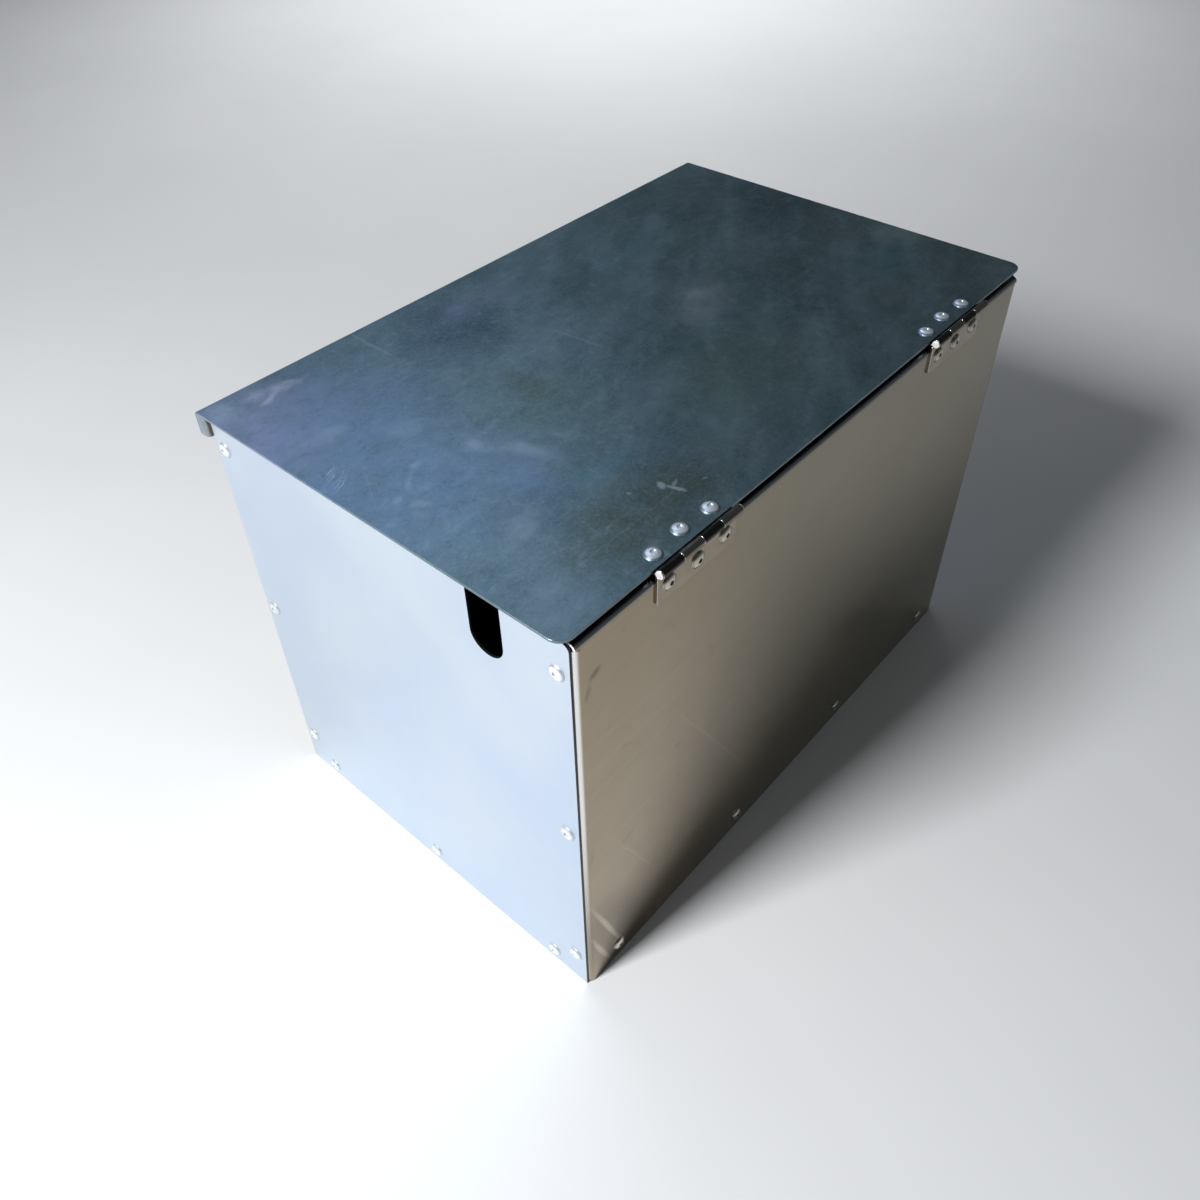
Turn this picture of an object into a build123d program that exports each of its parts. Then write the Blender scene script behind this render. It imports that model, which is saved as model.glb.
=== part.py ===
from build123d import *
import os

# Sheet-metal housing of a hydraulic reservoir: a riveted case with a hinged lid.
# Millimetres. X runs along the length, with the slotted end at +X. The hinges are at the rear, +Y.
# Z is up from the surface that the case stands on. The origin is the bottom centre of the whole box.

# Sheets
SHEET = 1.5                 # thickness of every case sheet and of the lid
BEND = 3.5                  # outer radius of the case bends
CUT_PAST = 1.0              # how far a cut runs past the sheet that it goes through

# Case
END_X = 211.5               # outer face of each end panel
REAR_Y = 133.0              # outer face of the rear panel
FRONT_Y = -136.0            # outer face of the front panel
END_SETBACK = 2.0           # the end panels stop this far short of the front and rear faces
CASE_TOP = 296.6            # top of the end panels and of the rear flange
FRONT_TOP = 299.8           # top of the front flange, which the lid comes down on
WELL_X = END_X - SHEET      # inner face of each end panel
CORNER_SLIT = 0.6           # height of the slit between a top bend and the upright bend below it
CORNER_GAP = 0.5            # the top bends and flanges stop this far short of the end panels
END_CORNER_RADIUS = 4.0

# Flanges
SIDE_FLANGE = 20.0          # width of the upright flanges behind the end panels
TOP_FLANGE = 15.0           # width of the inward flanges along the top
FLOOR_FLANGE = 18.5         # height of the flanges around the floor pan
SIDE_FLANGE_BOTTOM = 20.0   # the side flanges start just above the floor pan's flanges
PAN_RELIEF = 1.0            # extra length cut from each floor flange at the corners
HINGE_NOTCH = 62.0          # length cut out of the rear top flange behind each hinge

# Slot for the hoses, in the right end panel, open at the top
SLOT_Y = 77.8
SLOT_WIDTH = 22.0
SLOT_BOTTOM = 255.0

# Lid
LID_TOP = 301.5
LID_UNDER = LID_TOP - SHEET
LID_X = END_X + 5.0
LID_REAR_Y = 131.5
LID_REAR_RADIUS = 8.0
LIP_GAP = 0.5               # from the front panel to the lip's inner face
LIP_Y = FRONT_Y - LIP_GAP - SHEET
LIP_BOTTOM = 282.5
LIP_BEND = 2.5
LIP_CORNER_RADIUS = 6.0

# Hinges
LEAF = 1.2                  # thickness of the hinge leaves
BARREL_RADIUS = 2.5
BARREL_BORE = BARREL_RADIUS - LEAF
PIN_RADIUS = 1.25
PIN_HEAD_RADIUS = 2.2
PIN_HEAD = 0.8
PIN_HEAD_ROUND = 0.5
PIN_END_GAP = 0.15          # from the last knuckle to the pin's peened head
KNUCKLES = 4                # on each hinge, the leaves' by turns
KNUCKLE = 15.0
KNUCKLE_GAP = 0.3
LEAF_CUT_GAP = 0.5          # each leaf clears the other's knuckles by this much
CURL_SWEEP = 295            # degrees that a knuckle curls round from its leaf
LEAF_REACH = 20.8           # from the pin's axis to the leaf's free edge
LEAF_CORNER = 2.0
HINGE_X = 126.0             # middle of each hinge, each side of the centre
HINGE_LENGTH = KNUCKLES * KNUCKLE
PIN_Y = REAR_Y + BARREL_RADIUS
PIN_Z = LID_UNDER - LEAF + BARREL_RADIUS

# Blind rivets
RIVET_RADIUS = 2.4
RIVET_HOLE = 2.45
RIVET_HEAD_RADIUS = 4.75
RIVET_HEAD = 1.7
RIVET_HEAD_EDGE = 0.3
RIVET_BORE = 1.4
RIVET_CROWN_RADIUS = 1.8    # radius of the flat round the bore, on top of the head
RIVET_DOME_HEIGHT = 1.33    # height of the dome half way from that flat to the rim
TAIL_RADIUS = 3.4
TAIL = 4.2
TAIL_SEAT_RADIUS = 2.9      # where the tail bears on the inner sheet
TAIL_WIDEST = 1.7           # from the inner sheet to the tail's widest place
MANDREL_RADIUS = 1.35
MANDREL_HEAD_RADIUS = 2.2
MANDREL_HEAD = 1.6
MANDREL_SUNK = 0.5          # the broken mandrel ends this far below the top of the head
DRILL = 16.0                # length of the drill that bores the rivet holes, half of it outside

# Rivet layout
HINGE_PITCH = 21.4
HINGE_RIVET_REACH = 10.9    # from the pin's axis to the outer two rivets of each leaf
HINGE_STAGGER = 1.4         # the middle rivet of a leaf is this much farther from the axis
SEAM_INSET = 10.0           # of the upright rows, from the front and rear faces
SEAM_DROPS = (21.5, 144.5, 270.0)   # of each upright row, from the top of its long wall
END_FLOOR_HEIGHT = 9.5
END_FLOOR_PITCH = 106.5
LONG_FLOOR_HEIGHT = 12.0
LONG_FLOOR_X = (-184.0, -62.0, 62.0, 184.0)

MIDDLE_Y = (REAR_Y + FRONT_Y) / 2
HINGE_SPOTS = ((-HINGE_PITCH, HINGE_RIVET_REACH),
               (0.0, HINGE_RIVET_REACH + HINGE_STAGGER),
               (HINGE_PITCH, HINGE_RIVET_REACH))
SIDES = {"right": 1, "left": -1}


# Where the rivets sit: each place is on the outer face, under the middle of a rivet's head

def rear_upright_places(side):
    return [(side * END_X, REAR_Y - SEAM_INSET, CASE_TOP - drop) for drop in SEAM_DROPS]


def front_upright_places(side):
    return [(side * END_X, FRONT_Y + SEAM_INSET, FRONT_TOP - drop) for drop in SEAM_DROPS]


def end_floor_places(side):
    return [(side * END_X, MIDDLE_Y + step * END_FLOOR_PITCH, END_FLOOR_HEIGHT) for step in (-1, 0, 1)]


def long_floor_places(y):
    return [(x, y, LONG_FLOOR_HEIGHT) for x in LONG_FLOOR_X]


def hinge_case_places(side):
    return [(side * HINGE_X + x, REAR_Y + LEAF, PIN_Z - reach) for x, reach in HINGE_SPOTS]


def hinge_lid_places(side):
    return [(side * HINGE_X + x, PIN_Y - reach, LID_TOP) for x, reach in HINGE_SPOTS]


# Working with sheet

def block(x, y, z):
    """A box between the two values given for each axis."""
    size = [high - low for low, high in (x, y, z)]
    middle = [(high + low) / 2 for low, high in (x, y, z)]
    return Pos(*middle) * Box(*size)


def between(outside, inside):
    """The face between two lines that run side by side, closed at both ends."""
    edges = outside.edges() + inside.edges()
    edges += [Line(outside @ 0, inside @ 0).edge(), Line(outside @ 1, inside @ 1).edge()]
    return make_face(edges)


def folded(plane, outer, inner, outer_radius, length):
    """A bent sheet: the outer and inner lines of its section, filleted, extruded both ways."""
    outside = FilletPolyline(*outer, radius=outer_radius)
    inside = FilletPolyline(*inner, radius=outer_radius - SHEET)
    return extrude(plane * between(outside, inside), amount=length / 2, both=True)


def bored(sheet, axis, places):
    """The sheet with a rivet hole at each place, drilled along the axis."""
    turn = {"x": Rot(0, 90, 0), "y": Rot(90, 0, 0), "z": Rot(0, 0, 0)}[axis]
    for place in places:
        sheet -= Pos(*place) * turn * Cylinder(RIVET_HOLE, DRILL)
    return sheet


# The case

def long_panel(top):
    """A long wall with flanges turned in at both sides and at the top, its outer face on y = 0."""
    side_top = top - BEND - CORNER_SLIT
    outer = [(-WELL_X, -SIDE_FLANGE), (-WELL_X, 0), (WELL_X, 0), (WELL_X, -SIDE_FLANGE)]
    inside_x = WELL_X - SHEET
    inner = [(-inside_x, -SIDE_FLANGE), (-inside_x, -SHEET), (inside_x, -SHEET), (inside_x, -SIDE_FLANGE)]
    wall = Pos(0, 0, side_top / 2) * folded(Plane.XY, outer, inner, BEND, side_top)
    for side in SIDES.values():
        across = sorted((side * (inside_x - CUT_PAST), side * (WELL_X + CUT_PAST)))
        wall -= block(across, (-SIDE_FLANGE - CUT_PAST, -BEND), (-CUT_PAST, SIDE_FLANGE_BOTTOM))
    outer = [(0, side_top), (0, top), (-TOP_FLANGE, top)]
    inner = [(-SHEET, side_top), (-SHEET, top - SHEET), (-TOP_FLANGE, top - SHEET)]
    wall += folded(Plane.YZ, outer, inner, BEND, 2 * (WELL_X - CORNER_GAP))
    for side in SIDES.values():
        across = sorted((side * (WELL_X - BEND), side * (WELL_X + CUT_PAST)))
        wall -= block(across, (-BEND, CUT_PAST), (side_top, top - BEND))
    return wall


def rear_panel():
    panel = Pos(0, REAR_Y, 0) * long_panel(CASE_TOP)
    for side in SIDES.values():
        notch = (side * HINGE_X - HINGE_NOTCH / 2, side * HINGE_X + HINGE_NOTCH / 2)
        flange = (REAR_Y - TOP_FLANGE - CUT_PAST, REAR_Y - BEND)
        panel -= block(notch, flange, (CASE_TOP - BEND, CASE_TOP + CUT_PAST))
        panel = bored(panel, "x", rear_upright_places(side))
        panel = bored(panel, "y", hinge_case_places(side))
    return bored(panel, "y", long_floor_places(REAR_Y))


def front_panel():
    panel = Pos(0, FRONT_Y, 0) * Rot(0, 0, 180) * long_panel(FRONT_TOP)
    for side in SIDES.values():
        panel = bored(panel, "x", front_upright_places(side))
    return bored(panel, "y", long_floor_places(FRONT_Y))


def tray(plane, low, high, length):
    """A floor with a flange turned up at each end, between two places along the plane's first axis."""
    outer = [(low, FLOOR_FLANGE), (low, 0), (high, 0), (high, FLOOR_FLANGE)]
    low, high = low + SHEET, high - SHEET
    inner = [(low, FLOOR_FLANGE), (low, SHEET), (high, SHEET), (high, FLOOR_FLANGE)]
    return folded(plane, outer, inner, BEND, length)


def floor_pan():
    """The floor, with a flange turned up along each side and a square cut out of each corner."""
    cut = 2 * (BEND + PAN_RELIEF)
    rear, front = REAR_Y - SHEET, FRONT_Y + SHEET
    pan = Pos(0, MIDDLE_Y, 0) * tray(Plane.XZ, -WELL_X, WELL_X, rear - front - cut)
    pan += tray(Plane.YZ, front, rear, 2 * WELL_X - cut)
    for side in SIDES.values():
        pan = bored(pan, "x", end_floor_places(side))
    return bored(pan, "y", long_floor_places(REAR_Y) + long_floor_places(FRONT_Y))


def end_panel(side):
    """A flat end, outside the flanges. The right one has the slot."""
    faces = sorted((side * WELL_X, side * END_X))
    panel = block(faces, (FRONT_Y + END_SETBACK, REAR_Y - END_SETBACK), (0, CASE_TOP))
    panel = fillet(panel.edges().filter_by(Axis.X).group_by(Axis.Z)[-1], END_CORNER_RADIUS)
    if side == SIDES["right"]:
        radius = SLOT_WIDTH / 2
        middle = SLOT_BOTTOM + radius
        through = (WELL_X - CUT_PAST, END_X + CUT_PAST)
        panel -= block(through, (SLOT_Y - radius, SLOT_Y + radius), (middle, CASE_TOP + CUT_PAST))
        panel -= Pos(END_X, SLOT_Y, middle) * Rot(0, 90, 0) * Cylinder(radius, DRILL)
    uprights = rear_upright_places(side) + front_upright_places(side)
    return bored(panel, "x", uprights + end_floor_places(side))


# The lid

def lid():
    """The lid, with its front edge bent down into a lip."""
    outer = [(LIP_Y, LIP_BOTTOM), (LIP_Y, LID_TOP), (LID_REAR_Y, LID_TOP)]
    inner = [(LIP_Y + SHEET, LIP_BOTTOM), (LIP_Y + SHEET, LID_UNDER), (LID_REAR_Y, LID_UNDER)]
    sheet = folded(Plane.YZ, outer, inner, LIP_BEND, 2 * LID_X)
    sheet = fillet(sheet.edges().filter_by(Axis.Z).group_by(Axis.Y)[-1], LID_REAR_RADIUS)
    sheet = fillet(sheet.edges().filter_by(Axis.Y).group_by(Axis.Z)[0], LIP_CORNER_RADIUS)
    return bored(sheet, "z", hinge_lid_places(-1) + hinge_lid_places(1))


# The hinges, first drawn with the pin along the X axis

def hinge_leaf():
    """A leaf that hangs down on the -Y side, with every other knuckle from the -X end."""
    back, front = -BARREL_RADIUS, -BARREL_RADIUS + LEAF
    flat_top = -BARREL_RADIUS - LEAF_CUT_GAP
    half = HINGE_LENGTH / 2
    leaf = block((-half, half), (back, front), (-LEAF_REACH, flat_top))
    leaf = fillet(leaf.edges().filter_by(Axis.Y).group_by(Axis.Z)[0], LEAF_CORNER)
    curl = between(CenterArc((0, 0), BARREL_RADIUS, 180 - CURL_SWEEP, CURL_SWEEP),
                   CenterArc((0, 0), BARREL_BORE, 180 - CURL_SWEEP, CURL_SWEEP))
    for index in range(0, KNUCKLES, 2):
        low = -half + index * KNUCKLE + (KNUCKLE_GAP / 2 if index else 0)
        high = -half + (index + 1) * KNUCKLE - KNUCKLE_GAP / 2
        leaf += block((low, high), (back, front), (flat_top, 0))
        leaf += Pos(low, 0, 0) * extrude(Plane.YZ * curl, amount=high - low)
    return bored(leaf, "y", [(x, front, -reach) for x, reach in HINGE_SPOTS])


def hinge(side):
    """The two leaves, which are the same piece turned over, and the pin with its peened ends."""
    place = Pos(side * HINGE_X, PIN_Y, PIN_Z)
    case_leaf = hinge_leaf()
    lid_leaf = case_leaf.rotate(Axis((0, 0, 0), (0, 1, 1)), 180)
    length = HINGE_LENGTH + 2 * PIN_END_GAP
    pin = Rot(0, 90, 0) * Cylinder(PIN_RADIUS, length)
    for end in (-1, 1):
        peened = Rot(0, 90 * end, 0) * Cylinder(PIN_HEAD_RADIUS, PIN_HEAD)
        peened = fillet(peened.edges().group_by(Axis.X)[-1 if end > 0 else 0], PIN_HEAD_ROUND)
        pin += Pos(end * (length + PIN_HEAD) / 2, 0, 0) * peened
    return place * case_leaf, place * lid_leaf, place * pin


# The blind rivets, first drawn with the underside of the head on z = 0 and the shank down

def rivet(grip):
    """A domed rivet, open through its middle, set in sheets of this thickness."""
    end = -grip - TAIL
    crown = (RIVET_CROWN_RADIUS, RIVET_HEAD)
    rim = (RIVET_HEAD_RADIUS, RIVET_HEAD_EDGE)
    dome = ThreePointArc(crown, ((crown[0] + rim[0]) / 2, RIVET_DOME_HEIGHT), rim)
    under = Polyline(rim, (RIVET_HEAD_RADIUS, 0), (RIVET_RADIUS, 0), (RIVET_RADIUS, -grip),
                     (TAIL_SEAT_RADIUS, -grip))
    bulge = ThreePointArc(under @ 1, (TAIL_RADIUS, -grip - TAIL_WIDEST), (RIVET_RADIUS, end))
    bore = Polyline(bulge @ 1, (RIVET_BORE, end), (RIVET_BORE, RIVET_HEAD), crown)
    outline = dome.edges() + under.edges() + bulge.edges() + bore.edges()
    return revolve(Plane.XZ * make_face(outline), axis=Axis.Z)


def mandrel(grip):
    """What is left in a rivet of the mandrel that drew it up."""
    top, end = RIVET_HEAD - MANDREL_SUNK, -grip - TAIL
    outline = Polyline((0, top), (MANDREL_RADIUS, top), (MANDREL_RADIUS, end), (MANDREL_HEAD_RADIUS, end),
                       (MANDREL_HEAD_RADIUS, end - MANDREL_HEAD / 2), (MANDREL_RADIUS, end - MANDREL_HEAD),
                       (0, end - MANDREL_HEAD), close=True)
    return revolve(Plane.XZ * make_face(outline.edges()), axis=Axis.Z)


FACING = {"right": Rot(0, 90, 0), "left": Rot(0, -90, 0), "rear": Rot(-90, 0, 0), "front": Rot(90, 0, 0),
          "top": Rot(0, 0, 0)}


def rivet_rows():
    """Each row of rivets: the way that its heads face, its places and the thickness that it holds."""
    two_sheets, leaf_and_sheet = 2 * SHEET, SHEET + LEAF
    rows = {"rear_floor": ("rear", long_floor_places(REAR_Y), two_sheets),
            "front_floor": ("front", long_floor_places(FRONT_Y), two_sheets)}
    for name, side in SIDES.items():
        rows[name + "_end_rear"] = (name, rear_upright_places(side), two_sheets)
        rows[name + "_end_front"] = (name, front_upright_places(side), two_sheets)
        rows[name + "_end_floor"] = (name, end_floor_places(side), two_sheets)
        rows[name + "_hinge_case"] = ("rear", hinge_case_places(side), leaf_and_sheet)
        rows[name + "_hinge_lid"] = ("top", hinge_lid_places(side), leaf_and_sheet)
    return rows


def set_in(piece, facing, places):
    """One copy of the piece at each place, its top towards the side named."""
    return Compound(children=[Pos(*place) * FACING[facing] * piece for place in places])


parts = {"floor_pan": floor_pan(), "rear_panel": rear_panel(), "front_panel": front_panel(), "lid": lid()}
for name, side in SIDES.items():
    parts[name + "_end_panel"] = end_panel(side)
    case_leaf, lid_leaf, pin = hinge(side)
    parts[name + "_hinge_case_leaf"] = case_leaf
    parts[name + "_hinge_lid_leaf"] = lid_leaf
    parts[name + "_hinge_pin"] = pin
for name, (facing, places, grip) in rivet_rows().items():
    parts[name + "_rivets"] = set_in(rivet(grip), facing, places)
    parts[name + "_mandrels"] = set_in(mandrel(grip), facing, places)

os.makedirs("parts", exist_ok=True)
for name, part in parts.items():
    export_step(part, f"parts/{name}.step")
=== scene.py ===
import math

import bpy
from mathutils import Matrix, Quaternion, Vector


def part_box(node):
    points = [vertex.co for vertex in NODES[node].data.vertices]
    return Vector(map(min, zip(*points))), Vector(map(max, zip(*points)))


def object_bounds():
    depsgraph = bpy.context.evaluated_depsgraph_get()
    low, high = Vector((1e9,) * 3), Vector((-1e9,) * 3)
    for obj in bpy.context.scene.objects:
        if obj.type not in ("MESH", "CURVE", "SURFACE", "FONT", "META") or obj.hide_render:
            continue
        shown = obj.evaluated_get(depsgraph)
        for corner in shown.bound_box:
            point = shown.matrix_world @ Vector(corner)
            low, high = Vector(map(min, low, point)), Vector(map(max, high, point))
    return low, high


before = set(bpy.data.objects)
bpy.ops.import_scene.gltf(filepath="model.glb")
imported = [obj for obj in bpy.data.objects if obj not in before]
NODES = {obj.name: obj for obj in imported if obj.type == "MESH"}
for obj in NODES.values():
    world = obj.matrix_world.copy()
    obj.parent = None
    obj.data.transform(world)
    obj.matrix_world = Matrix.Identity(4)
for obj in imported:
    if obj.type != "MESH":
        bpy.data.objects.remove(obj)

# Sheet-metal housing of a hydraulic reservoir: materials, floor, light and camera.
# Metres, in the part's own frame. Marks on the sheets are placed in millimetres and turned in degrees.

MILLIMETRE = 0.001

CAD_LOW, CAD_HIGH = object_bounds()
REAR_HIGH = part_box("rear_panel")[1]
END_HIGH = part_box("right_end_panel")[1]
PIN_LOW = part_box("right_hinge_pin")[0]
MIDDLE = (CAD_LOW + CAD_HIGH) / 2

# Camera
CAMERA_PLACE = Vector((0.4282, 0.3459, 0.6228))
CAMERA_TARGET = Vector((0.0425, -0.0070, 0.1500))
CAMERA_ROLL = math.radians(1.68)
CAMERA_SENSOR = 36              # millimetres wide
CAMERA_LENS = 31.88             # millimetres
CAMERA_SHIFT = (0.0041, -0.0352)

# Where the materials change
EDGE_RADIUS = 0.25 * MILLIMETRE                 # the sheets' edges look rounded by this much
BEND_FOOT = 0.02                                # the painted highlight on the rear panel's upright bends is faint below this height
BEND_HIGHLIGHT_TOP = 0.19                          # and full above this one
CORNER_LOW = REAR_HIGH.z - 4.0 * MILLIMETRE     # the sheared ends of the top bends start here
BARREL_LOW = PIN_LOW.z - 1.5 * MILLIMETRE       # the hinge leaves start to curl round the pin here

# Cosines of how far a face is turned from the nearest axis
FLAT = 1.0
BENT = 0.80                     # well into a bend
CROWN = 0.90                    # on top of a rivet's dome
DOME_FOOT = 0.78                # round the foot of the dome

# Cosines of how far a rounded edge turns a face from its flat direction
EDGE_STARTS = 0.995
EDGE_WORN = 0.90

SCRATCH_GROUP = 1.6             # a group of scratches is this many scratch lengths across
SCRATCH_FADE = 0.05             # how far past its threshold the noise makes a full scratch
GROUP_FADE = (0.5, 0.62)        # the noise where a group starts, and where it is full

BEVEL_SAMPLES = 4
THROUGH = 1.0                   # a feature this long doesn't change through a sheet's thickness
FLATTEN = 100.0                 # a scale along Z that leaves nothing of it
UPRIGHT_DEPTH = 0.03            # how deep into the rear panel an upright oval reaches


# Building materials

class Surface:
    """A material being built. Each call adds a node and gives back its output."""

    def __init__(self, name, metal=0.0):
        self.material = bpy.data.materials.new(name)
        self.material.use_nodes = True
        self.tree = self.material.node_tree
        self.shader = self.tree.nodes["Principled BSDF"]
        self.metal(metal)
        self.place = self.node("ShaderNodeTexCoord", output="Object")

    def node(self, kind, inputs=None, output=0, **settings):
        made = self.tree.nodes.new(kind)
        for name, value in settings.items():
            setattr(made, name, value)
        for name, value in (inputs or {}).items():
            self.feed(made.inputs[name], value)
        return made.outputs[output]

    def feed(self, socket, value):
        if isinstance(value, bpy.types.NodeSocket):
            self.tree.links.new(value, socket)
        else:
            socket.default_value = value

    def colour(self, value):
        self.feed(self.shader.inputs["Base Color"], value)

    def metal(self, value):
        self.feed(self.shader.inputs["Metallic"], value)

    def roughness(self, value):
        self.feed(self.shader.inputs["Roughness"], value)

    def bump(self, heights, radius):
        """Bumps, each a height from 0 to 1 and its depth in metres, on edges rounded to this radius."""
        normal = self.node("ShaderNodeBevel", {"Radius": radius}, samples=BEVEL_SAMPLES)
        for height, depth in heights:
            normal = self.node("ShaderNodeBump", {"Height": height, "Distance": depth, "Normal": normal})
        self.feed(self.shader.inputs["Normal"], normal)

    # Sums and mixtures

    def math(self, operation, first, second=0.0):
        return self.node("ShaderNodeMath", {0: first, 1: second}, operation=operation)

    def vectors(self, operation, first, second=(0, 0, 0), output=0):
        return self.node("ShaderNodeVectorMath", {0: first, 1: second}, output, operation=operation)

    def between(self, value, low, high, to_low=0.0, to_high=1.0):
        """The value's place between low and high, eased and clamped."""
        inputs = {"Value": value, "From Min": low, "From Max": high, "To Min": to_low, "To Max": to_high}
        return self.node("ShaderNodeMapRange", inputs, interpolation_type="SMOOTHSTEP")

    def mix(self, share, first, second):
        """A colour between two, by the share of the second."""
        made = self.tree.nodes.new("ShaderNodeMix")
        made.data_type = "RGBA"
        colours = [socket for socket in made.inputs if socket.type == "RGBA"]
        self.feed(made.inputs[0], share)
        for socket, colour in zip(colours, (first, second)):
            self.feed(socket, (*colour, 1) if isinstance(colour, tuple) else colour)
        return next(socket for socket in made.outputs if socket.type == "RGBA")

    def tint(self, base, colour, value, low, high, strength=1.0):
        """The base, taken this far towards a colour as the value goes from low to high."""
        return self.mix(self.between(value, low, high, 0.0, strength), base, colour)

    # Places and directions

    def along(self, axis):
        """One of the object coordinates: X, Y or Z."""
        made = self.tree.nodes.new("ShaderNodeSeparateXYZ")
        self.tree.links.new(self.place, made.inputs[0])
        return made.outputs[axis]

    def facing(self):
        """How far the surface faces towards +X, +Y and +Z, each from -1 to 1."""
        split = self.tree.nodes.new("ShaderNodeSeparateXYZ")
        self.tree.links.new(self.node("ShaderNodeTexCoord", output="Normal"), split.inputs[0])
        return list(split.outputs)

    def sides(self):
        """How squarely the surface faces along X, Y and Z, each from 0 to 1."""
        return [self.math("ABSOLUTE", part) for part in self.facing()]

    def squarest(self):
        """How squarely the surface faces along the axis that it faces most."""
        along_x, along_y, along_z = self.sides()
        return self.math("MAXIMUM", along_x, self.math("MAXIMUM", along_y, along_z))

    def bends(self):
        """1 round the middle of a bend, 0 on the flat faces."""
        return self.between(self.squarest(), FLAT, BENT)

    def rims(self):
        """1 round the foot of a rivet's dome, 0 on its crown."""
        return self.between(self.squarest(), CROWN, DOME_FOOT)

    def edges(self, radius):
        """1 on the rounded-over edges, 0 on the faces."""
        rounded = self.node("ShaderNodeBevel", {"Radius": radius}, samples=BEVEL_SAMPLES)
        flat = self.node("ShaderNodeNewGeometry", output="Normal")
        cosine = self.vectors("DOT_PRODUCT", rounded, flat, output="Value")
        return self.between(cosine, EDGE_STARTS, EDGE_WORN)

    # Patterns

    def stretched(self, size, turn=(0, 0, 0), shift=(0, 0, 0)):
        """Object coordinates turned, then counted in lengths of this size along each axis."""
        inputs = {"Vector": self.place, "Location": shift, "Rotation": turn, "Scale": size}
        return self.node("ShaderNodeMapping", inputs, vector_type="TEXTURE")

    def noise(self, size, detail=3.0, roughness=0.5, warp=0.0, turn=(0, 0, 0), shift=(0, 0, 0)):
        """Noise from 0 to 1, with features of about this size in metres."""
        size = size if isinstance(size, tuple) else (size, size, size)
        inputs = {"Vector": self.stretched(size, turn, shift), "Scale": 1.0, "Detail": detail,
                  "Roughness": roughness, "Distortion": warp}
        return self.node("ShaderNodeTexNoise", inputs)

    def wander(self, size, amount):
        """A vector that wanders up to half this much either way, over features of this size in metres."""
        inputs = {"Vector": self.stretched((size, size, size)), "Scale": 1.0, "Detail": 4.0}
        noise = self.node("ShaderNodeTexNoise", inputs, output="Color")
        centred = self.vectors("SUBTRACT", noise, (0.5, 0.5, 0.5))
        return self.vectors("MULTIPLY", centred, (amount, amount, amount))

    def reach(self, place, size, turn, wander, upright=False):
        """Distance from a place, in lengths of a turned oval with these half-axes. Millimetres.

        The oval lies on the XY plane, or stands on the XZ plane against the rear panel.
        """
        across, along = (value * MILLIMETRE for value in place)
        width, length = (value * MILLIMETRE for value in size)
        inputs = {
            "Vector": self.vectors("ADD", self.place, wander),
            "Location": (across, REAR_HIGH.y, along) if upright else (across, along, 0),
            "Rotation": (0, math.radians(turn), 0) if upright else (0, 0, math.radians(turn)),
            "Scale": (width, UPRIGHT_DEPTH, length) if upright else (width, length, FLATTEN),
        }
        oval = self.node("ShaderNodeMapping", inputs, vector_type="TEXTURE")
        return self.vectors("LENGTH", oval, output="Value")

    def spot(self, mark, strength, wander, fade, upright=False):
        """A soft oval: nothing beyond the first distance of the fade, and this strength within the second."""
        outer, inner = fade
        return self.between(self.reach(*mark, wander, upright), outer, inner, 0.0, strength)

    def scratches(self, length, width, turn, threshold, shift=(0, 0, 0), flat_axis=2):
        """Fine straight scratches along the turned X axis, in scattered groups."""
        size = [length, width, width]
        size[flat_axis] = THROUGH
        lines = self.noise(tuple(size), detail=2.0, turn=turn, shift=shift)
        groups = self.noise(SCRATCH_GROUP * length, detail=1.0, shift=shift)
        sharp = self.between(lines, threshold, threshold + SCRATCH_FADE)
        return self.math("MULTIPLY", sharp, self.between(groups, *GROUP_FADE))


# Lid

LID_DARK = (0.085, 0.155, 0.175)
LID_LIGHT = (0.15, 0.23, 0.265)
LID_WIPED = (0.20, 0.29, 0.33)
LID_ROLLED = (0.22, 0.32, 0.38)
LID_GRIME = (0.06, 0.10, 0.115)
LID_CRYSTAL = (0.30, 0.40, 0.46)
LID_SPECK = (0.26, 0.35, 0.42)
LID_SCRATCH = (0.52, 0.61, 0.66)
LID_WORN = (0.70, 0.74, 0.76)

INSIDE_DARK = (0.56, 0.60, 0.59)
INSIDE_LIGHT = (0.72, 0.76, 0.74)
INSIDE_GRIME = (0.44, 0.49, 0.51)
INSIDE_ROLLED = (0.78, 0.81, 0.80)
INSIDE_SCRATCH = (0.85, 0.88, 0.88)

VIOLET = (0.29, 0.325, 0.49)
BLUE = (0.165, 0.26, 0.40)
NAVY = (0.05, 0.10, 0.135)
TEAL = (0.13, 0.28, 0.33)
MOSS = (0.13, 0.215, 0.19)
OLIVE = (0.092, 0.126, 0.094)
SLATE = (0.19, 0.27, 0.31)
ASH = (0.27, 0.335, 0.385)
CHALK = (0.45, 0.47, 0.56)
FROST = (0.36, 0.48, 0.54)
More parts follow.
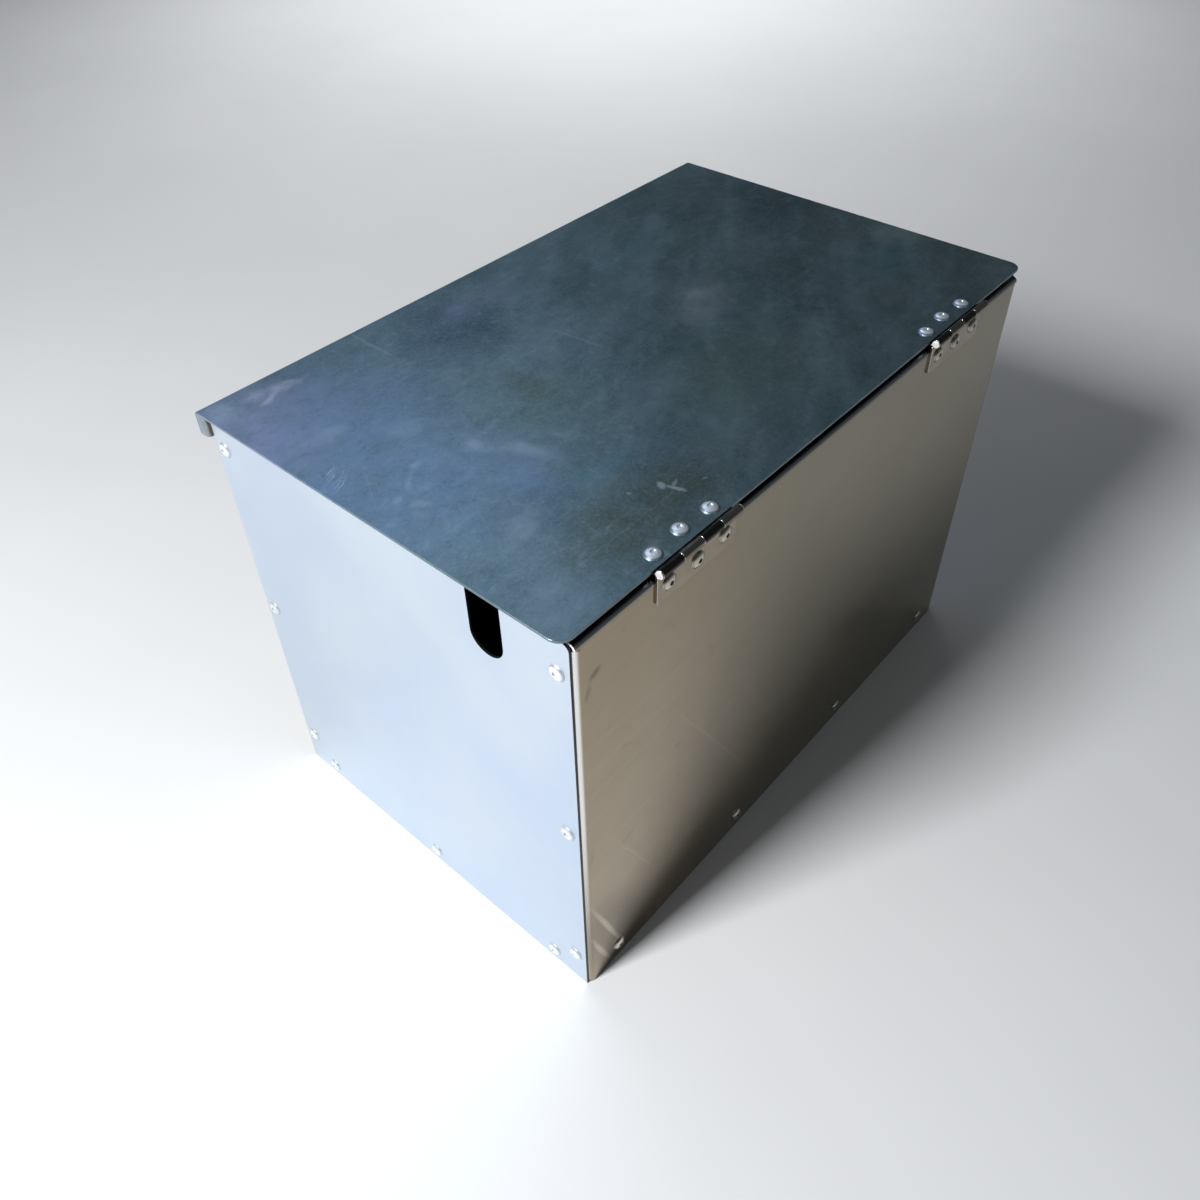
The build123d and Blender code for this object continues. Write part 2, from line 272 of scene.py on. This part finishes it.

# Cloudy patches, seen from above, the violet and blue ones at the right end partly a painted sky reflection:
# place, half-axes, turn, colour, strength
LID_PATCHES_AND_SHEEN = [
    ((225, -100), (80, 70), 0, VIOLET, 0.95),
    ((205, -20), (80, 75), 20, BLUE, 0.75),
    ((160, -75), (52, 60), 0, BLUE, 0.55),
    ((68, -92), (48, 44), 0, NAVY, 0.95),
    ((88, 5), (42, 55), 10, MOSS, 0.45),
    ((84, -14), (16, 22), 0, OLIVE, 0.50),
    ((165, 25), (56, 52), -35, BLUE, 0.45),
    ((125, 104), (74, 32), 0, OLIVE, 1.0),
    ((200, 112), (28, 22), 0, SLATE, 0.80),
    ((142, 38), (16, 26), -15, BLUE, 0.45),
    ((172, 66), (19, 10), 15, FROST, 0.30),
    ((112, 64), (26, 9), 0, TEAL, 0.55),
    ((150, -36), (20, 8), -35, FROST, 0.22),
    ((186, -62), (17, 8), -10, FROST, 0.28),
    ((35, -108), (50, 16), 8, VIOLET, 0.25),
    ((0, 62), (58, 44), 20, MOSS, 0.80),
    ((48, 70), (7, 28), 0, SLATE, 0.45),
    ((-52, 0), (36, 19), 25, ASH, 0.80),
    ((-56, -8), (12, 9), 20, FROST, 0.55),
    ((-85, -20), (26, 8), 25, SLATE, 0.55),
    ((-107, -12), (10, 9), 0, SLATE, 0.65),
    ((-133, -33), (12, 9), 20, SLATE, 0.75),
    ((-85, -78), (60, 28), 15, TEAL, 0.28),
    ((-172, 62), (40, 24), 0, TEAL, 0.60),
    ((-212, 46), (26, 22), 0, FROST, 0.60),
    ((-195, -45), (38, 60), 0, NAVY, 0.55),
    ((170, -120), (12, 7), -20, CHALK, 0.85),
    ((184, -116), (12, 3.5), 12, CHALK, 0.80),
    ((186, -126), (9, 5), 0, CHALK, 0.60),
    ((208, -124), (12, 13), 20, FROST, 0.70),
    ((142, 124), (3.5, 10), 0, FROST, 0.45),
    ((191, 16), (6, 3.5), -40, FROST, 0.45),
    ((197, 6), (4, 3), 0, FROST, 0.40),
]
# Rims left where a rag was swirled: place, half-axes, turn, place and half-axes of the part kept, strength
LID_SWIRLS = [
    ((185, 50), (64, 64), 0, (134, 20), (22, 40), 0.40),
    ((170, 12), (19, 20), 0, (180, -4), (15, 11), 0.45),
]
# Nicks and single scratches: place, half-axes, turn, strength
LID_NICKS = [
    ((103, 103), (1.7, 6.5), 18, 0.65),
    ((106, 96), (2.6, 3.4), -30, 0.65),
    ((101, 100), (4, 1.2), 20, 0.40),
    ((87, 109), (1.8, 1.1), 0, 0.35),
    ((121, 88), (1.3, 1.0), 0, 0.35),
    ((111, -116), (1.5, 26), 0, 0.16),
    ((29, -28), (0.8, 26), 6, 0.22),
    ((140, 104), (60, 0.5), 0, 0.10),
]
# A row of short parallel scratches
HATCH_COUNT = 6
HATCH_PLACE = (206, -25)
HATCH_STEP = 2.6                # from one scratch to the next
HATCH_LEAN = 1.5                # in each group of three, the next one is shifted this much
HATCH_SIZE = (9, 0.5)           # half-axes
HATCH_TURN = 25
HATCH_STRENGTH = 0.30

# Where a mark's fade starts and ends, counted in its own half-axes
PATCH_FADE = (1.15, 0.25)
SWIRL_FADE = (1.1, 0.5)
NICK_FADE = (1.1, 0.4)


def lid_sheet():
    """Zinc-coated sheet with a dark slate patina outside, partly a painted bluish sky reflection at the right
    end, and plain pale zinc inside.
    """
    surface = Surface("lid_sheet", metal=0.9)
    clouds = surface.noise(0.06, detail=6.0, roughness=0.62, warp=0.3)
    mottle = surface.noise((0.011, 0.009, 0.01), detail=7.0, roughness=0.75, warp=0.6)
    wiped = surface.noise((0.07, 0.022, 0.1), detail=6.0, roughness=0.65, turn=(0, 0, math.radians(32)))
    rolled = surface.noise((0.10, 0.004, 0.1), detail=3.0)
    speckle = surface.noise(0.0016, detail=2.0, roughness=0.7)
    scratched = lid_scratches(surface)
    worn = surface.edges(EDGE_RADIUS)

    outside = surface.tint(LID_DARK, LID_LIGHT, clouds, 0.28, 0.72)
    outside = surface.tint(outside, LID_WIPED, wiped, 0.40, 0.70, 0.42)
    outside = surface.tint(outside, LID_ROLLED, rolled, 0.5, 0.75, 0.18)
    outside = lid_patches_and_sheen(surface, outside)
    outside = surface.tint(outside, LID_GRIME, mottle, 0.50, 0.25, 0.48)
    outside = surface.tint(outside, LID_CRYSTAL, mottle, 0.50, 0.75, 0.42)
    outside = surface.tint(outside, LID_SPECK, speckle, 0.35, 0.75, 0.26)
    outside = surface.mix(lid_nicks(surface, scratched), outside, LID_SCRATCH)

    inside = surface.tint(INSIDE_DARK, INSIDE_LIGHT, clouds, 0.3, 0.7)
    inside = surface.tint(inside, INSIDE_GRIME, mottle, 0.30, 0.70, 0.40)
    inside = surface.tint(inside, INSIDE_ROLLED, rolled, 0.45, 0.75, 0.30)
    inside = surface.mix(scratched, inside, INSIDE_SCRATCH)

    base = surface.mix(lid_inner_faces(surface), outside, inside)
    surface.colour(surface.mix(surface.math("MULTIPLY", worn, 0.7), base, LID_WORN))
    rough = surface.between(wiped, 0.35, 0.75, 0.36, 0.44)
    surface.roughness(surface.math("SUBTRACT", rough, surface.math("MULTIPLY", worn, 0.1)))
    waves = surface.noise(0.09, detail=1.0)
    heights = [(waves, 0.4 * MILLIMETRE), (rolled, 0.004 * MILLIMETRE), (speckle, 0.006 * MILLIMETRE)]
    surface.bump(heights, EDGE_RADIUS)
    return surface.material


def lid_scratches(surface):
    """Faint fine scratches in two directions."""
    steep = surface.scratches(0.05, 0.0005, (0, 0, math.radians(62)), 0.66)
    shallow = surface.scratches(0.08, 0.0006, (0, 0, math.radians(-15)), 0.68, shift=(0.3, 0.1, 0))
    return surface.math("MULTIPLY", surface.math("MAXIMUM", steep, shallow), 0.15)


def lid_patches_and_sheen(surface, base):
    """Cloudy patches, the violet and blue ones at the right end partly a painted sky reflection, and the rims
    of wiped swirls.
    """
    wander = surface.wander(0.02, 0.016)
    cloudy = surface.between(surface.noise(0.018, detail=5.0, roughness=0.65), 0.25, 0.65, 0.35, 1.0)
    for *mark, colour, strength in LID_PATCHES_AND_SHEEN:
        # Patina patches, and at the right end partly a painted sky reflection
        patch = surface.spot(mark, strength, wander, PATCH_FADE)
        base = surface.mix(surface.math("MULTIPLY", patch, cloudy), base, colour)
    for place, size, turn, kept_place, kept_size, strength in LID_SWIRLS:
        past_rim = surface.math("SUBTRACT", surface.reach(place, size, turn, wander), 1.0)
        rim = surface.between(surface.math("ABSOLUTE", past_rim), 0.12, 0.0)
        kept = surface.spot((kept_place, kept_size, 0), strength, wander, SWIRL_FADE)
        swirl = surface.math("MULTIPLY", rim, kept)
        base = surface.mix(surface.math("MULTIPLY", swirl, cloudy), base, FROST)
    return base


def lid_nicks(surface, scratched):
    """The fine scratches together with the nicks, single scratches and hatching."""
    tremble = surface.wander(0.004, 0.004)
    marks = scratched
    for *mark, strength in LID_NICKS + hatching():
        marks = surface.math("MAXIMUM", marks, surface.spot(mark, strength, tremble, NICK_FADE))
    return marks


def hatching():
    """A row of short parallel scratches, uneven in place and length."""
    across, along = HATCH_PLACE
    length, width = HATCH_SIZE
    rows = []
    for step in range(HATCH_COUNT):
        place = (across - HATCH_LEAN * (step % 3), along - HATCH_STEP * step)
        rows.append((place, (length - step % 2, width), HATCH_TURN, HATCH_STRENGTH))
    return rows


def lid_inner_faces(surface):
    """1 on the lid's underside and on the inner face of its front lip."""
    _, to_rear, to_top = surface.facing()
    on_front = surface.between(surface.along("Y"), 0.0, -0.05)
    inner_lip = surface.math("MULTIPLY", surface.between(to_rear, 0.3, 0.7), on_front)
    return surface.math("MAXIMUM", inner_lip, surface.between(to_top, -0.3, -0.7))


# Rear and front panel, and floor pan

# The rear and front panels' and floor pan's brown: partly tarnish, partly painted shade, darker than the end
# panels' zinc
WALL_DARK = (0.37, 0.298, 0.203)
WALL_LIGHT = (0.415, 0.333, 0.232)
WALL_PATCH = (0.30, 0.245, 0.165)
WALL_ROLLED = (0.50, 0.44, 0.34)
WALL_FAR_SHADE = (0.235, 0.225, 0.165)
WALL_STAIN = (0.20, 0.15, 0.10)
WALL_SCRATCH = (0.6, 0.58, 0.54)
WALL_WORN = (0.76, 0.76, 0.74)
# Painted highlight on the rear panel's upright bends
BEND_HIGHLIGHT = (0.84, 0.83, 0.82)
# Painted shade on what faces up or down, such as the top bends under the lid
LEVEL_SHADE_GREY = (0.46, 0.48, 0.50)
LEVEL_SHADE_BLACK = (0.015, 0.017, 0.02)
# Painted highlight: the sheared ends of the top bends are white and barely metallic, so they read bright
CUT_END_HIGHLIGHT = (0.95, 0.95, 0.94)
WALL_METAL = 0.95
CUT_END_HIGHLIGHT_METAL = 0.1

UMBER = (0.19, 0.15, 0.10)
# Painted shade at the foot of the rear panel's right end
FOOT_SHADE = (0.20, 0.165, 0.115)
# Painted reflections of lines on the floor, as light streaks
REFLECTED_LINE = (0.54, 0.465, 0.35)

# Marks on the rear panel, stains with a painted shade and painted reflections of lines: place along X and up,
# half-axes, turn, colour, strength
WALL_MARKS = [
    ((198, 270), (5.5, 2.8), 28, UMBER, 0.80),
    ((203, 261), (2.2, 6), -15, UMBER, 0.50),
    ((176, 117), (7, 2.2), 15, UMBER, 0.35),
    ((205, 130), (1.5, 9), -10, UMBER, 0.30),
    # Painted shade at the foot
    ((188, 34), (30, 58), 19, FOOT_SHADE, 0.85),
    # Painted reflections of floor lines
    ((194, 46), (2.0, 42), 19.5, REFLECTED_LINE, 0.80),
    ((200, 26), (2.0, 25), 19.5, REFLECTED_LINE, 0.80),
    ((95, 122), (1.4, 96), 32, REFLECTED_LINE, 0.22),
    ((166, 86), (1.2, 62), 27, REFLECTED_LINE, 0.20),
]
WALL_MARK_FADE = (1.2, 0.3)


def wall_sheet():
    """Smoother zinc-coated sheet, half a mirror, in a brown that is partly tarnish and partly painted shade,
    with painted highlights on its upright bends and sheared ends.
    """
    surface = Surface("wall_sheet")
    clouds = surface.noise(0.12, detail=4.0, roughness=0.6, warp=0.3)
    dust = surface.noise(0.0022, detail=3.0, roughness=0.7)
    rolled = surface.noise((0.30, 0.30, 0.004), detail=3.0)
    cut_end = wall_cut_ends(surface)

    base = wall_tone_and_shade(surface, clouds, rolled)
    base = wall_marks(surface, base)
    base = wall_bends(surface, base)
    # Painted highlight on the sheared ends of the top bends
    base = surface.mix(cut_end, base, CUT_END_HIGHLIGHT)
    surface.metal(surface.between(cut_end, 0.0, 1.0, WALL_METAL, CUT_END_HIGHLIGHT_METAL))
    worn = surface.math("MULTIPLY", surface.edges(EDGE_RADIUS), 0.8)
    surface.colour(surface.mix(worn, base, WALL_WORN))
    dusty = surface.between(dust, 0.5, 0.8, 0.0, 0.06)
    surface.roughness(surface.math("ADD", surface.between(clouds, 0.3, 0.7, 0.16, 0.24), dusty))
    waves = surface.noise(0.12, detail=1.0)
    heights = [(waves, 0.6 * MILLIMETRE), (rolled, 0.003 * MILLIMETRE), (dust, 0.004 * MILLIMETRE)]
    surface.bump(heights, EDGE_RADIUS)
    return surface.material


def wall_tone_and_shade(surface, clouds, rolled):
    """Brown clouds, patches, rolling lines and stains, with a painted shade turning it darker and greener
    from the right end to the middle.
    """
    patches = surface.noise((0.035, 0.035, 0.022), detail=6.0, roughness=0.65, warp=0.5)
    stains = surface.noise((0.012, 0.1, 0.02), detail=5.0, roughness=0.7, turn=(0, math.radians(35), 0))
    # Painted shade in part: the brown base is darker than the end panels' zinc
    base = surface.tint(WALL_DARK, WALL_LIGHT, clouds, 0.3, 0.7)
    base = surface.tint(base, WALL_PATCH, patches, 0.42, 0.68, 0.26)
    base = surface.tint(base, WALL_ROLLED, rolled, 0.45, 0.72, 0.12)
    # Painted shade: darker and greener from the right end to the middle, where less light falls
    base = surface.tint(base, WALL_FAR_SHADE, surface.along("X"), END_HIGH.x, 0.0, 0.7)
    return surface.tint(base, WALL_STAIN, stains, 0.62, 0.74, 0.35)


def wall_marks(surface, base):
    """Stains, a painted shade and painted reflections of lines at set places on the rear panel, and fine
    scratches everywhere.
    """
    wander = surface.wander(0.02, 0.003)
    for *mark, colour, strength in WALL_MARKS:
        base = surface.mix(surface.spot(mark, strength, wander, WALL_MARK_FADE, upright=True), base, colour)
    scratched = surface.scratches(0.06, 0.0005, (0, math.radians(35), 0), 0.68, flat_axis=1)
    return surface.mix(surface.math("MULTIPLY", scratched, 0.3), base, WALL_SCRATCH)


def wall_bends(surface, base):
    """A painted highlight on the rear panel's bends, stronger with height. What faces up or down has a
    painted shade, grey, then near black.
    """
    by_height = surface.between(surface.along("Z"), BEND_FOOT, BEND_HIGHLIGHT_TOP, 0.08, 1.0)
    on_rear = surface.between(surface.along("Y"), 0.0, REAR_HIGH.y / 2)
    # Painted highlight: the rear panel's bends are lightened, more with height
    bend_highlight = surface.math("MULTIPLY", surface.math("MULTIPLY", surface.bends(), by_height), on_rear)
    base = surface.mix(bend_highlight, base, BEND_HIGHLIGHT)
    # Painted shade: what faces up or down turns grey, then near black
    level = surface.sides()[2]
    base = surface.tint(base, LEVEL_SHADE_GREY, level, 0.10, 0.35)
    return surface.tint(base, LEVEL_SHADE_BLACK, level, 0.55, 0.92)


def wall_cut_ends(surface):
    """1 on the sheared ends of the top bends."""
    facing_end = surface.between(surface.sides()[0], 0.85, 0.97)
    at_top = surface.between(surface.along("Z"), CORNER_LOW, CORNER_LOW + MILLIMETRE)
    return surface.math("MULTIPLY", facing_end, at_top)


# End panels

END_DARK = (0.52, 0.60, 0.71)
END_LIGHT = (0.585, 0.65, 0.72)
END_GRAIN = (0.50, 0.58, 0.68)
END_PATCH = (0.56, 0.60, 0.74)
# Painted shade on the end panels' sheared edges
SHEARED_EDGE_SHADE = (0.03, 0.035, 0.04)


def end_sheet():
    """Pale, satin zinc-coated sheet, with a painted shade on its sheared edges."""
    surface = Surface("end_sheet", metal=0.75)
    clouds = surface.noise(0.10, detail=4.0, warp=0.5)
    grain = surface.noise((0.01, 0.0008, 0.03), detail=3.0)
    patches = surface.noise(0.03, detail=6.0, roughness=0.65, warp=0.5)
    base = surface.tint(END_DARK, END_LIGHT, clouds, 0.3, 0.7)
    base = surface.tint(base, END_GRAIN, grain, 0.3, 0.8, 0.15)
    base = surface.tint(base, END_PATCH, patches, 0.45, 0.70, 0.18)
    # Painted shade: the edges that don't face along X are darkened
    facing_end = surface.sides()[0]
    surface.colour(surface.tint(base, SHEARED_EDGE_SHADE, facing_end, 0.7, 0.4))
    surface.roughness(surface.between(clouds, 0.3, 0.7, 0.38, 0.46))
    waves = surface.noise(0.10, detail=1.0)
    surface.bump([(waves, 0.4 * MILLIMETRE), (grain, 0.004 * MILLIMETRE)], EDGE_RADIUS)
    return surface.material


# Hardware

# The leaves' brown, like the wall's, is partly painted shade
LEAF_BROWN = (0.37, 0.305, 0.22)
LEAF_STAIN = (0.33, 0.28, 0.21)
# Painted shade on the hinge leaves' ends
LEAF_END_SHADE = (0.20, 0.175, 0.14)
# Painted highlight on the hinge leaves' edges
LEAF_EDGE_HIGHLIGHT = (0.98, 0.97, 0.95)
# Painted shade on the knuckles, lighter on the case leaf and darker on the lid leaf
CASE_BARREL_SHADE = (0.27, 0.25, 0.225)
LID_BARREL_SHADE = (0.06, 0.058, 0.056)
RUBBED = 1.35                   # rubbed edges are this much lighter than the metal

RIVET_EDGE = 0.15 * MILLIMETRE
MANDREL_EDGE = 0.1 * MILLIMETRE
PIN_EDGE = 0.2 * MILLIMETRE
LEAF_EDGE_RADIUS = 0.4 * MILLIMETRE


def plated(name, colour, roughness, edge, metal=1.0, stain=0.72, rim=None):
    """Plated metal with small stains and rubbed edges, and perhaps a painted shade round the foot of a dome.
    """
    surface = Surface(name, metal)
    stains = surface.noise(0.006, detail=4.0, roughness=0.6)
    stained = tuple(stain * part for part in colour)
    base = surface.tint(colour, stained, stains, 0.35, 0.7)
    # Painted shade round the foot of the dome
    if rim:
        base = surface.mix(surface.rims(), base, rim)
    edge_wear_and_highlight = tuple(min(1.0, RUBBED * part) for part in colour)
    finish_plated(surface, base, edge_wear_and_highlight, stains, roughness, edge)
    return surface.material


def hinge_leaf_steel(name, barrel_shade):
    """Leaf the same brown as the wall, partly painted shade, with knuckles in a painted shade of their own,
    painted shade on its ends and a painted highlight on its edges.
    """
    surface = Surface(name, metal=1.0)
    stains = surface.noise(0.01, detail=4.0, roughness=0.6)
    base = surface.tint(LEAF_BROWN, LEAF_STAIN, stains, 0.35, 0.7, 0.5)
    # Painted shade on the knuckles
    base = surface.tint(base, barrel_shade, surface.along("Z"), BARREL_LOW, BARREL_LOW + MILLIMETRE)
    # Painted shade on the leaf's ends, which face along X
    base = surface.tint(base, LEAF_END_SHADE, surface.sides()[0], 0.6, 0.9)
    # Painted highlight: the leaf's edges are near white
    finish_plated(surface, base, LEAF_EDGE_HIGHLIGHT, stains, 0.16, LEAF_EDGE_RADIUS)
    return surface.material


def finish_plated(surface, base, edge_wear_and_highlight, stains, roughness, edge):
    """The rubbed edges, on the hinge leaves a painted highlight, the gloss and the faint grain that all the
    plated hardware has.
    """
    surface.colour(surface.mix(surface.edges(edge), base, edge_wear_and_highlight))
    surface.roughness(surface.between(stains, 0.3, 0.7, roughness - 0.04, roughness + 0.10))
    surface.bump([(surface.noise(0.0012, detail=2.0), 0.02 * MILLIMETRE)], edge)


def rivets():
    """The rivets' and mandrels' materials, by the ending of the node's name."""
    bright = plated("rivet_bright", (0.92, 0.94, 0.97), 0.36, RIVET_EDGE, metal=0.6, rim=(0.52, 0.54, 0.60))
    # Rivets on the lid: tinted bluish by a painted sky reflection, with a painted shade round the foot
    on_lid = plated("rivet_lid", (0.80, 0.89, 1.0), 0.33, RIVET_EDGE, metal=0.7, rim=(0.19, 0.235, 0.33))
    # Rivets on the rear side: a darker copy of the bright rivet, painted shade
    shaded_rivet = plated("rivet_shaded", (0.70, 0.65, 0.57), 0.20, RIVET_EDGE, rim=(0.34, 0.31, 0.26))
    bright_mandrel = plated("mandrel_bright", (0.75, 0.77, 0.80), 0.40, MANDREL_EDGE, metal=0.7)
    # Mandrels on the rear side: a dark copy of the bright mandrel, painted shade
    shaded_mandrel = plated("mandrel_shaded", (0.10, 0.095, 0.09), 0.45, MANDREL_EDGE)
    return {
        "hinge_lid_rivets": on_lid, "hinge_lid_mandrels": bright_mandrel,
        "hinge_case_rivets": shaded_rivet, "hinge_case_mandrels": shaded_mandrel,
        "rear_floor_rivets": shaded_rivet, "rear_floor_mandrels": shaded_mandrel,
        "rivets": bright, "mandrels": bright_mandrel,
    }


def paint():
    """Gives every CAD node the material of the first ending that its name has."""
    wall = wall_sheet()
    by_ending = {
        "rear_panel": wall, "front_panel": wall, "floor_pan": wall, "end_panel": end_sheet(),
        "case_leaf": hinge_leaf_steel("case_leaf_steel", CASE_BARREL_SHADE),
        "lid_leaf": hinge_leaf_steel("lid_leaf_steel", LID_BARREL_SHADE),
        "pin": plated("hinge_pin_zinc", (0.95, 0.95, 0.96), 0.42, PIN_EDGE, metal=0.4, stain=0.9),
        **rivets(),
        "lid": lid_sheet(),
    }
    for name, piece in NODES.items():
        material = next(made for ending, made in by_ending.items() if name.endswith(ending))
        piece.data.materials.clear()
        piece.data.materials.append(material)


# Floor, light and camera

FLOOR_SIZE = 12.0
FLOOR_GAP = 0.2 * MILLIMETRE    # the floor lies this far below the case
FLOOR_DARK = (0.84, 0.85, 0.865)
FLOOR_LIGHT = (0.87, 0.88, 0.89)

DAYLIGHT = (0.98, 0.99, 1.0)
SKY_BLUE = (0.66, 0.78, 1.0)
PALE_SKY = (0.90, 0.95, 1.0)


def floor_paper():
    """Matt pale paper with faint wide patches."""
    surface = Surface("floor_paper")
    patches = surface.noise(0.4, detail=3.0)
    surface.colour(surface.tint(FLOOR_DARK, FLOOR_LIGHT, patches, 0.3, 0.7))
    surface.roughness(0.7)
    return surface.material


def floor():
    bpy.ops.mesh.primitive_plane_add(size=FLOOR_SIZE, location=(0, 0, CAD_LOW.z - FLOOR_GAP))
    made = bpy.context.object
    made.name = "floor"
    made.data.materials.append(floor_paper())


def softbox(name, place, size, power, colour, target=MIDDLE, spread=180, diffuse=True, glossy=True):
    """A square lamp aimed at a target. It may light only by diffuse or only by glossy reflection."""
    light = bpy.data.lights.new(name, "AREA")
    light.spread = math.radians(spread)
    light.shape = "SQUARE"
    light.size = size
    light.energy = power
    light.color = colour
    made = bpy.data.objects.new(name, light)
    made.location = place
    made.rotation_mode = "QUATERNION"
    made.rotation_quaternion = (Vector(target) - Vector(place)).to_track_quat("-Z", "Y")
    made.visible_diffuse = diffuse
    made.visible_glossy = glossy
    bpy.context.scene.collection.objects.link(made)


def surroundings(colour, strength):
    """An even glow from all round."""
    world = bpy.data.worlds.new("studio")
    world.use_nodes = True
    background = world.node_tree.nodes["Background"]
    background.inputs["Color"].default_value = (*colour, 1)
    background.inputs["Strength"].default_value = strength
    bpy.context.scene.world = world


def light():
    """A small key beyond the right end, a glow seen only in gloss, and light on the floor behind."""
    softbox("key", place=(1.5, -0.25, 1.4), size=0.45, power=46, colour=DAYLIGHT)
    softbox("lid_glow", place=(-0.5, -1.2, 1.85), size=1.2, power=6.5, colour=SKY_BLUE, diffuse=False)
    softbox("backdrop", place=(-1.6, -1.4, 2.0), size=1.5, power=11, colour=DAYLIGHT,
            target=(-1.6, -1.4, 0), spread=80, glossy=False)
    surroundings(PALE_SKY, strength=0.09)


def camera():
    data = bpy.data.cameras.new("camera")
    data.sensor_width = CAMERA_SENSOR
    data.lens = CAMERA_LENS
    data.shift_x, data.shift_y = CAMERA_SHIFT
    made = bpy.data.objects.new("camera", data)
    made.location = CAMERA_PLACE
    made.rotation_mode = "QUATERNION"
    level = (CAMERA_TARGET - CAMERA_PLACE).to_track_quat("-Z", "Y")
    made.rotation_quaternion = level @ Quaternion((0, 0, 1), -CAMERA_ROLL)
    bpy.context.scene.collection.objects.link(made)
    bpy.context.scene.camera = made


paint()
floor()
light()
camera()
bpy.context.scene.view_settings.view_transform = "Standard"
